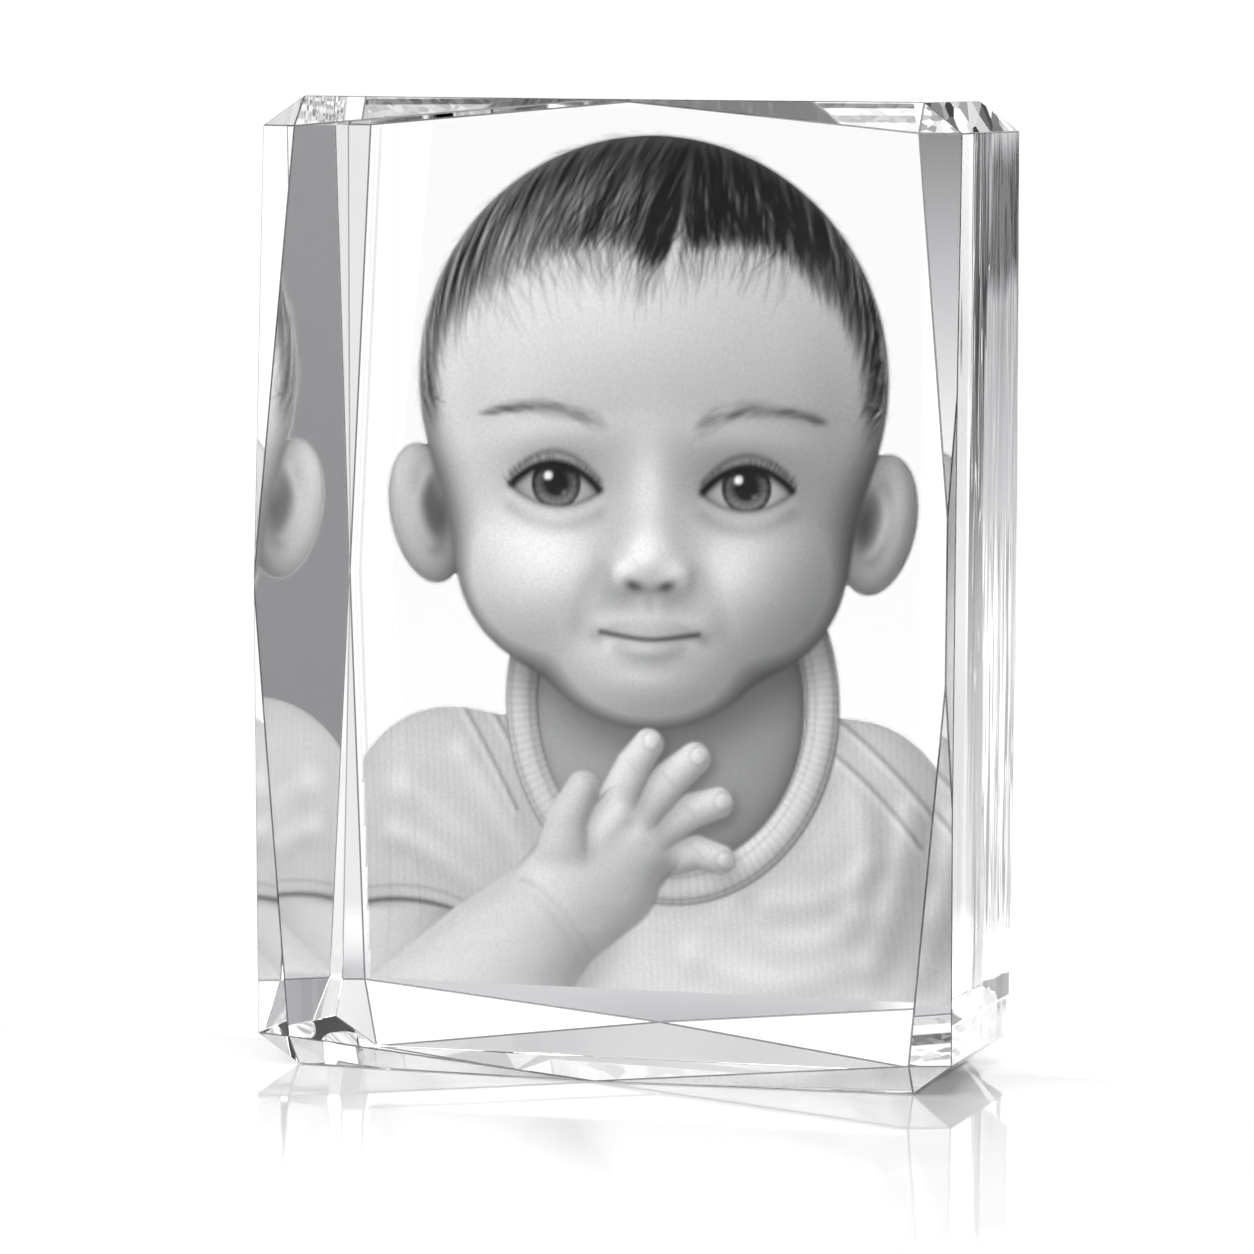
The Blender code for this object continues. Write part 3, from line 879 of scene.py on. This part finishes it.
# Each flag: its turns and heights in degrees, how soft its edges are, its pattern, and its tones.
for turns, height, rises, soft, pattern, tones in (
    # Left side, and the grey of the wedge and the side on the right
    ((29, 62), rise, (-14, 9), 3, broad, (0.25, 0.40)),
    ((-52, -31.5), rise, (-8.0, -3.0), 1.0, fine, (0.20, 1.30)),
    ((-52, -31), rise, (-3.2, -0.75), 0.4, broad, (0.22, 0.90)),
    ((-52, -31), rise, (-1.45, -0.85), 0.25, fine, (0.00, 0.20)),
    ((-29.6, -27.9), rise, (-1.6, 2.0), 2.8, broad, (0.16, 0.20)),
    # Bands in the small facet at the lower right
    ((-31, -29), rise, (6.80, 6.85), 0.01, shards, (0.45, 0.80)),
    ((-31, -29), rise, (6.65, 6.72), 0.01, shards, (0.01, 0.35)),
    ((-31, -29), rise, (6.53, 6.61), 0.01, shards, (0.30, 1.20)),
    # The top facets, each with a dark streak along its upper edge
    ((-34, -26), rise, (-30, -17), 1, shards, (0.02, 1.10)),
    ((-8.2, -7.0), rise, (10.3, 11.3), 0.1, slivers, (0.00, 2.40)),
    ((-22.5, -20.2), from_top_right_edge, (-22.6, -21.9), 0.05, shards, (0.75, 1.05)),
    ((-22.5, -20.2), from_top_right_edge, (-22.300, -22.262), 0.006, shards, (0.35, 0.60)),
    ((-22.5, -20.2), from_top_right_edge, (-22.213, -22.187), 0.004, shards, (0.02, 0.22)),
    ((-20, -17), from_top_left_edge, (-22.4, -21.8), 0.05, shards, (0.45, 0.85)),
    ((-20, -17), from_top_left_edge, (-22.075, -22.045), 0.004, shards, (0.04, 0.30)),
    # The facets along the base
    ((-40, 25), rise, (12, 16.4), 0.4, broad, (0.58, 0.68)),
    ((-18.6, -17.3), rise, (17.2, 18.2), 0.2, shards, (0.04, 0.50)),
    ((-19.9, -19.5), rise, (16.70, 16.80), 0.01, shards, (0.03, 0.80)),
    ((-146, -139), rise, (26, 52), 1, shards, (0.35, 1.50)),
    ((-9, 3), rise, (-15, 9), 2, broad, (0.82, 0.88)),
    ((4, 15), rise, (-2, 9), 2, fine, (0.00, 0.28)),
    # What the small facets of the corners and the silhouette pick up
    ((66, 100), rise, (-30, 20), 4, broad, (0.00, 0.20)),
    ((106, 128), rise, (-16, 12), 3, broad, (0.55, 0.82)),
    ((-110, -50), rise, (-26, 20), 4, broad, (0.04, 0.80)),
    ((-110, -50), rise, (-60, -28), 3, broad, (0.30, 0.95)),
    ((-54, -49), rise, (-57, -52), 1, shards, (0.00, 0.90)),
    ((18, 128), rise, (-40, -20), 3, broad, (0.40, 1.00)),
    ((34, 39), rise, (-26, -22), 1, shards, (0.20, 1.20)),
    ((95, 109), rise, (-31, -25), 1, shards, (0.20, 1.20)),
    ((-130, 20), rise, (28, 75), 4, broad, (0.40, 1.00)),
    ((-80, -54), rise, (60, 67), 1, cells, (0.03, 1.10)),
    ((29, 130), rise, (28, 75), 5, broad, (0.45, 1.05)),
    ((106, 113), rise, (31, 35), 1, shards, (0.25, 1.20)),
    ((-30, -20), rise, (36, 44), 2, broad, (0.80, 0.95)),
    ((-75, -60), rise, (68, 76), 2, slivers, (0.30, 1.10)),
):
    over = add_node(
        tree, "ShaderNodeMath", {"operation": "MULTIPLY"},
        {0: within(turn, *turns, soft), 1: within(height, *rises, soft)},
    )
    tone_of_flag = add_node(
        tree, "ShaderNodeMapRange", {"To Min": tones[0], "To Max": tones[1]}, {"Value": pattern}
    )
    flag = add_node(
        tree, "ShaderNodeMix", {"data_type": "FLOAT"},
        {"Factor": over.outputs[0], "A": lights, "B": tone_of_flag.outputs["Result"]},
    )
    lights = flag.outputs["Result"]

# Two black cards stand behind the camera. The first keeps the front light's reflection out of the
# print, and the second darkens the side face. The gap between them is the side's white band.
card_tone = 0.03
card_edge, card_fade = 0.1, 4
for turns in ((-163.7, -142), (-172, -164.4)):
    card = add_node(
        tree, "ShaderNodeMath", {"operation": "MULTIPLY"},
        {0: within(turn, *turns, card_edge), 1: within(rise, -3, 3, card_fade)},
    )
    lights = add_node(
        tree, "ShaderNodeMix", {"data_type": "FLOAT", "B": card_tone},
        {"Factor": card.outputs[0], "A": lights},
    ).outputs["Result"]

# Seen directly the surround is plain white, and only the glass and the table pick the flags up.
ray_kind = add_node(tree, "ShaderNodeLightPath")
lights = add_node(
    tree, "ShaderNodeMix", {"data_type": "FLOAT", "B": back_light},
    {"Factor": ray_kind.outputs["Is Camera Ray"], "A": lights},
).outputs["Result"]
tree.links.new(lights, tree.nodes["Background"].inputs["Strength"])

# Where the surround is dark it is also very slightly cool.
white_from, cool_from = 0.95, 0.35
shade = add_node(
    tree, "ShaderNodeMapRange", {"From Min": white_from, "From Max": cool_from}, {"Value": lights}
)
tint = add_node(tree, "ShaderNodeMix", {"data_type": "RGBA"}, {"Factor": shade.outputs["Result"]})
tint.inputs[6].default_value = linear("#FFFFFF")
tint.inputs[7].default_value = linear("#FBFAFF")
tree.links.new(tint.outputs[2], tree.nodes["Background"].inputs["Color"])

# Table: a white acrylic sheet that the block stands on. It is polished, so that it mirrors the block
# faintly in front of it, and it fades into the white surround on all sides.
table_half_width, table_half_depth = 0.115, 0.24
table_below = 0.00005
table_sides = 96
floor_mesh = bpy.data.meshes.new("studio_floor")
rim = []
for n in range(table_sides):
    around = math.tau * n / table_sides
    rim.append((table_half_width * math.cos(around), table_half_depth * math.sin(around), 0))
floor_mesh.from_pydata(rim, [], [tuple(range(table_sides))])
floor = bpy.data.objects.new("studio_floor", floor_mesh)
bpy.context.scene.collection.objects.link(floor)
floor.location.z = -table_below
made, tree, shader = new_material("white_acrylic_sheet")
shader.inputs["Roughness"].default_value = 0.9
shader.inputs["Specular IOR Level"].default_value = 0.0
gloss = add_node(tree, "ShaderNodeBsdfAnisotropic", {"Roughness": 0.04})
place = add_node(tree, "ShaderNodeNewGeometry").outputs["Position"]
nearness = add_node(tree, "ShaderNodeSeparateXYZ", links={"Vector": place})

# A painted shadow: the sheet's colour turns grey in a soft band straight back from the block,
# slanted as a shadow from the light in front of it would be, from under the block's middle backwards.
painted_shadow_slant = 0.331
painted_shadow_core, painted_shadow_edge = 0.036, 0.044
painted_shadow_fades, painted_shadow_ends = 0.12, 0.20
under_block, past_middle = -0.005, 0.010
slanted = add_node(
    tree, "ShaderNodeMath", {"operation": "MULTIPLY_ADD", 1: painted_shadow_slant},
    {0: nearness.outputs["Y"], 2: nearness.outputs["X"]},
)
aside = add_node(tree, "ShaderNodeMath", {"operation": "ABSOLUTE"}, {0: slanted.outputs[0]})
in_width = add_node(
    tree, "ShaderNodeMapRange", {"From Min": painted_shadow_edge, "From Max": painted_shadow_core},
    {"Value": aside.outputs[0]},
)
in_depth = add_node(
    tree, "ShaderNodeMapRange", {"From Min": painted_shadow_ends, "From Max": painted_shadow_fades},
    {"Value": nearness.outputs["Y"]},
)
past_front = add_node(
    tree, "ShaderNodeMapRange", {"From Min": under_block, "From Max": past_middle},
    {"Value": nearness.outputs["Y"]},
)
shadow = add_node(
    tree, "ShaderNodeMath", {"operation": "MULTIPLY"},
    {0: in_width.outputs["Result"], 1: in_depth.outputs["Result"]},
)
shadow = add_node(
    tree, "ShaderNodeMath", {"operation": "MULTIPLY"},
    {0: shadow.outputs[0], 1: past_front.outputs["Result"]},
)
# Painted shadow: under this mask the sheet's white turns to the grey below.
sheet = add_node(tree, "ShaderNodeMix", {"data_type": "RGBA"}, {"Factor": shadow.outputs[0]})
sheet.inputs[6].default_value = linear("#FFFFFF")
sheet.inputs[7].default_value = linear("#B0B0B3")
tree.links.new(sheet.outputs[2], shader.inputs["Base Color"])

# Towards its rim the sheet fades into the white surround, and so does its polish.
fade_starts = 0.62
across_sheet = add_node(tree, "ShaderNodeVectorMath", {"operation": "MULTIPLY"}, {0: place})
across_sheet.inputs[1].default_value = (1 / table_half_width, 1 / table_half_depth, 0.0)
outward = add_node(tree, "ShaderNodeVectorMath", {"operation": "LENGTH"}, {0: across_sheet.outputs[0]})
solid_part = add_node(
    tree, "ShaderNodeMapRange", {"From Min": 1.0, "From Max": fade_starts},
    {"Value": outward.outputs["Value"]},
)
tree.links.new(solid_part.outputs["Result"], shader.inputs["Alpha"])
polish_starts = 0.85
polished_part = add_node(
    tree, "ShaderNodeMapRange", {"From Min": 1.0, "From Max": polish_starts},
    {"Value": outward.outputs["Value"]},
)

# The polish shows close to the block's front. It fades out towards the viewer, and behind the block.
mirror_starts, mirror_full, most_mirrored = -0.235, -0.02, 0.66
mirror_fades, mirror_ends = 0.005, 0.022
fade = add_node(
    tree, "ShaderNodeMapRange",
    {"interpolation_type": "SMOOTHSTEP", "From Min": mirror_starts, "From Max": mirror_full,
     "To Max": most_mirrored},
    {"Value": nearness.outputs["Y"]},
)
beside = add_node(
    tree, "ShaderNodeMapRange", {"From Min": mirror_ends, "From Max": mirror_fades},
    {"Value": nearness.outputs["Y"]},
)
fade = add_node(
    tree, "ShaderNodeMath", {"operation": "MULTIPLY"},
    {0: fade.outputs["Result"], 1: beside.outputs["Result"]},
)
fade = add_node(
    tree, "ShaderNodeMath", {"operation": "MULTIPLY"},
    {0: fade.outputs[0], 1: polished_part.outputs["Result"]},
)
mix = add_node(tree, "ShaderNodeMixShader")
tree.links.new(fade.outputs[0], mix.inputs[0])
tree.links.new(shader.outputs[0], mix.inputs[1])
tree.links.new(gloss.outputs[0], mix.inputs[2])
tree.links.new(mix.outputs[0], tree.nodes["Material Output"].inputs["Surface"])
floor_mesh.materials.append(made)

# Camera: a long lens a metre away, a little to the right of the block and above it, as in the
# photograph.
azimuth = math.radians(18.32)
pitch = math.radians(4.025)
roll = math.radians(0.5056)
distance = 1.00224
lens_in_pixels = 8230.7
picture_width = 1254
target = Vector((0.00367, -0.020, 0.05585))
back = Vector((math.sin(azimuth) * math.cos(pitch), -math.cos(azimuth) * math.cos(pitch), math.sin(pitch)))
level = Vector((math.cos(azimuth), math.sin(azimuth), 0))
upright = back.cross(level)
right = level * math.cos(roll) + upright * math.sin(roll)
up = upright * math.cos(roll) - level * math.sin(roll)
camera_data = bpy.data.cameras.new("camera")
camera_data.lens = lens_in_pixels / picture_width * camera_data.sensor_width
camera_data.clip_start = 0.05
camera = bpy.data.objects.new("camera", camera_data)
bpy.context.scene.collection.objects.link(camera)
place = Matrix((right, up, back)).transposed().to_4x4()
place.translation = target + back * distance
camera.matrix_world = place
bpy.context.scene.camera = camera
bpy.context.scene.view_settings.view_transform = "Standard"
